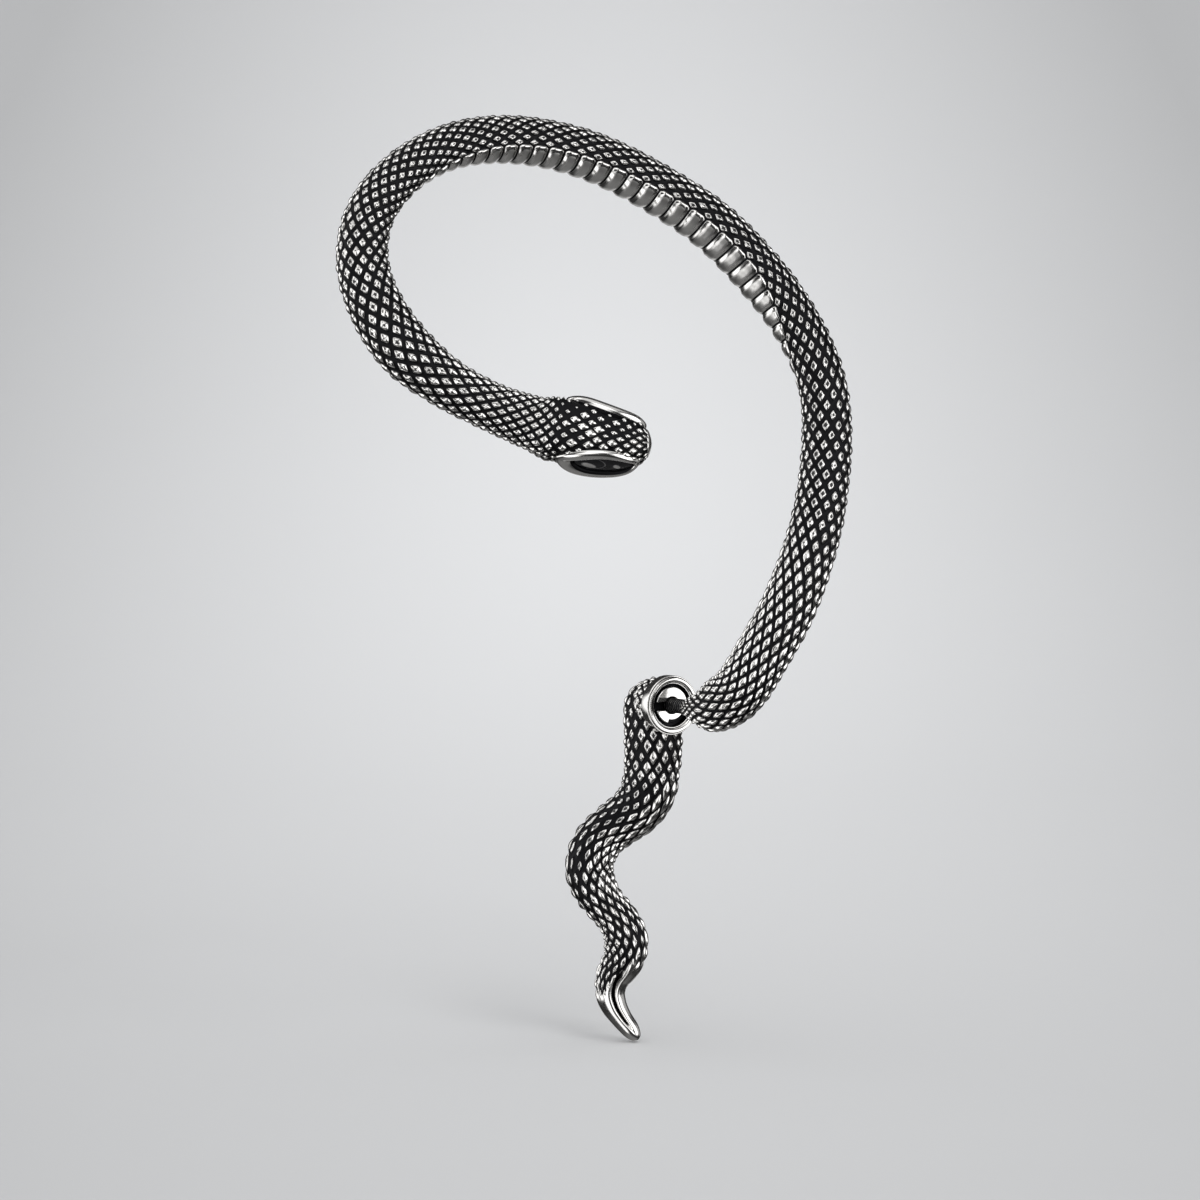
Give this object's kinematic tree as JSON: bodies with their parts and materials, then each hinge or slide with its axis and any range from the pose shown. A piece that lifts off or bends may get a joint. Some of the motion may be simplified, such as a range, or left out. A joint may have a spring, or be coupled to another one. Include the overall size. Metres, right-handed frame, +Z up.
{
  "type": "ear climber",
  "caption": "Snake-shaped ear climber in oxidised cast steel: a scaled hook over the ear, a post through the lobe and a wavy tail that fastens behind it.",
  "frame": {"origin": "on the post's axis, in the middle of the room for the ear lobe between the hook's pierced end and the collar's face", "axes": "+Z up as worn, -Y toward the viewer of the picture, +X to the viewer's right"},
  "size_m": [0.0407, 0.0201, 0.0755],
  "materials": {
    "oxidised_steel": "cast stainless steel with black oxide in the grooves and polished scale tops",
    "polished_steel": "polished stainless steel",
    "black_stone": "glossy black cabochon"
  },
  "bodies": {
    "hook": {"ear_hook": "oxidised_steel", "eye_left": "black_stone", "eye_right": "black_stone", "lobe_post": "polished_steel"},
    "grip": {"grip_clutch": "polished_steel"},
    "tail": {"socket_collar": "polished_steel", "tail_drop": "oxidised_steel"}
  },
  "joints": [
    {"name": "grip_slide", "type": "slide", "parent": "hook", "child": "grip", "axis": [-0.5286, 0.846, -0.0698], "range_m": [0, 0.0025]},
    {"name": "tail_swivel", "type": "hinge", "parent": "grip", "child": "tail", "pos_m": [-0.00079, 0.00127, -0.00011], "axis": [0.5286, -0.846, 0.0698], "continuous": true}
  ]
}
